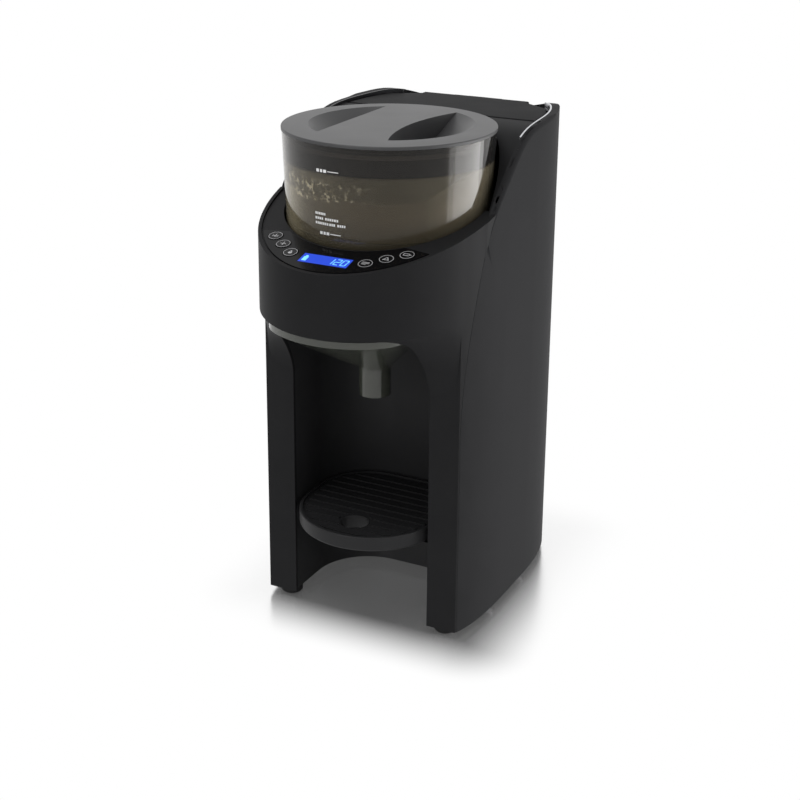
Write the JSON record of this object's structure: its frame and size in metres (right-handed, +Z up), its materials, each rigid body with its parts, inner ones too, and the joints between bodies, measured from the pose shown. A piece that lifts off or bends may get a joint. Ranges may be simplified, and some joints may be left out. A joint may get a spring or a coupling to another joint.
{
  "type": "baby formula maker",
  "caption": "Countertop machine that meters powder from a clear hopper, heats water from a rear tank and mixes both through a funnel into a bottle on an adjustable tray.",
  "frame": {"origin": "on the table under the middle of the machine's box", "axes": "+X to the machine's right as seen from behind its front, +Y to the back, +Z up; the front with bottle bay and keys faces -Y"},
  "size_m": [0.179, 0.2841, 0.378],
  "materials": {
    "shell_black": "satin near-black moulded plastic",
    "shell_grey": "satin dark grey moulded plastic",
    "trim_silver": "bright silver line",
    "liner_black": "satin near-black",
    "base_black": "textured black",
    "foot_rubber": "matt rubber",
    "screw_steel": "plain steel",
    "inlet_black": "gloss black",
    "panel_gloss": "high gloss black lens",
    "display_blue": "backlit blue display",
    "board_green": "printed circuit board",
    "key_gloss": "gloss black with white print",
    "hopper_smoke": "smoke-tinted clear plastic",
    "wheel_white": "smooth moulded plastic",
    "lid_grey": "satin grey-black",
    "gasket_silicone": "translucent silicone",
    "gear_white": "natural acetal",
    "pinion_brass": "machined brass",
    "motor_steel": "zinc plated can",
    "bracket_grey": "moulded structural plastic",
    "bushing_brass": "sintered bronze",
    "chute_white": "smooth moulded plastic",
    "nozzle_silicone": "silicone",
    "heater_aluminium": "cast block",
    "pump_black": "moulded pump body",
    "hose_silicone": "milky silicone tube",
    "tank_smoke": "smoke-tinted clear plastic",
    "funnel_smoke": "smoke-tinted clear plastic",
    "tray_grey": "satin dark grey"
  },
  "bodies": {
    "housing": {"front_fascia": "shell_black", "side_shell_right": "shell_grey", "side_shell_left": "shell_grey", "rear_cover": "shell_black", "edge_trim_right": "trim_silver", "edge_trim_left": "trim_silver", "hopper_cradle": "shell_black", "bay_liner": "liner_black", "base_plate": "base_black", "rubber_feet": "foot_rubber", "base_screws": "screw_steel", "mains_inlet": "inlet_black", "control_lens": "panel_gloss", "display_module": "display_blue", "display_board": "board_green", "drive_motor": "motor_steel", "gear_plate": "bracket_grey", "shaft_bushing": "bushing_brass", "powder_chute": "chute_white", "water_nozzle": "nozzle_silicone", "heater": "heater_aluminium", "water_pump": "pump_black", "inlet_hose": "hose_silicone", "transfer_hose": "hose_silicone", "outlet_hose": "hose_silicone", "tank_shelf": "bracket_grey", "main_board": "board_green"},
    "hopper": {"hopper_container": "hopper_smoke", "powder_scraper": "wheel_white"},
    "metering": {"metering_wheel": "wheel_white", "stirrer": "wheel_white"},
    "hopper_cap": {"hopper_lid": "lid_grey", "lid_gasket": "gasket_silicone"},
    "gear": {"drive_gear": "gear_white"},
    "pinion": {"motor_pinion": "pinion_brass"},
    "funnel": {"funnel": "funnel_smoke"},
    "tray": {"bottle_tray": "tray_grey"},
    "tank": {"water_tank": "tank_smoke", "hinge_pin": "screw_steel"},
    "tank_flap": {"tank_lid": "lid_grey"},
    "valve": {"tank_valve": "gasket_silicone"},
    "key_inner_right": {"key_inner_right": "key_gloss"},
    "key_inner_left": {"key_inner_left": "key_gloss"},
    "key_middle_right": {"key_middle_right": "key_gloss"},
    "key_middle_left": {"key_middle_left": "key_gloss"},
    "key_outer_right": {"key_outer_right": "key_gloss"},
    "key_outer_left": {"key_outer_left": "key_gloss"}
  },
  "joints": [
    {"name": "hopper_lift", "type": "slide", "parent": "housing", "child": "hopper", "axis": [0, 0, 1], "range_m": [0, 0.12]},
    {"name": "metering_spin", "type": "hinge", "parent": "hopper", "child": "metering", "pos_m": [0, -0.027, 0.304], "axis": [0, 0, 1], "continuous": true},
    {"name": "hopper_lid_lift", "type": "slide", "parent": "hopper", "child": "hopper_cap", "axis": [0, 0, 1], "range_m": [0, 0.08]},
    {"name": "gear_spin", "type": "hinge", "parent": "housing", "child": "gear", "pos_m": [0, -0.027, 0.2795], "axis": [0, 0, 1], "continuous": true},
    {"name": "pinion_spin", "type": "hinge", "parent": "housing", "child": "pinion", "pos_m": [0, 0.0105, 0.2795], "axis": [0, 0, 1], "continuous": true},
    {"name": "funnel_draw", "type": "slide", "parent": "housing", "child": "funnel", "axis": [0, -1, 0], "range_m": [0, 0.16]},
    {"name": "tray_draw", "type": "slide", "parent": "housing", "child": "tray", "axis": [0, -1, 0], "range_m": [0, 0.14]},
    {"name": "tank_lift", "type": "slide", "parent": "housing", "child": "tank", "axis": [0, 0, 1], "range_m": [0, 0.2]},
    {"name": "tank_lid_hinge", "type": "hinge", "parent": "tank", "child": "tank_flap", "pos_m": [0, 0.131, 0.369], "axis": [-1, 0, 0], "range_deg": [0, 95]},
    {"name": "tank_valve_rise", "type": "slide", "parent": "tank", "child": "valve", "axis": [0, 0, 1], "range_m": [0, 0.004], "stiffness_N_per_m": 60, "springref_m": -0.003},
    {"name": "key_inner_right_press", "type": "slide", "parent": "housing", "child": "key_inner_right", "axis": [0, 0.2425, -0.9701], "range_m": [0, 0.0008], "stiffness_N_per_m": 400, "springref_m": -0.0003},
    {"name": "key_inner_left_press", "type": "slide", "parent": "housing", "child": "key_inner_left", "axis": [0, 0.2425, -0.9701], "range_m": [0, 0.0008], "stiffness_N_per_m": 400, "springref_m": -0.0003},
    {"name": "key_middle_right_press", "type": "slide", "parent": "housing", "child": "key_middle_right", "axis": [0, 0.2425, -0.9701], "range_m": [0, 0.0008], "stiffness_N_per_m": 400, "springref_m": -0.0003},
    {"name": "key_middle_left_press", "type": "slide", "parent": "housing", "child": "key_middle_left", "axis": [0, 0.2425, -0.9701], "range_m": [0, 0.0008], "stiffness_N_per_m": 400, "springref_m": -0.0003},
    {"name": "key_outer_right_press", "type": "slide", "parent": "housing", "child": "key_outer_right", "axis": [0, 0.2425, -0.9701], "range_m": [0, 0.0008], "stiffness_N_per_m": 400, "springref_m": -0.0003},
    {"name": "key_outer_left_press", "type": "slide", "parent": "housing", "child": "key_outer_left", "axis": [0, 0.2425, -0.9701], "range_m": [0, 0.0008], "stiffness_N_per_m": 400, "springref_m": -0.0003}
  ],
  "couplings": [
    {"joint": "pinion_spin", "follows": "gear_spin", "ratio": -4},
    {"joint": "metering_spin", "follows": "gear_spin", "ratio": 1}
  ]
}
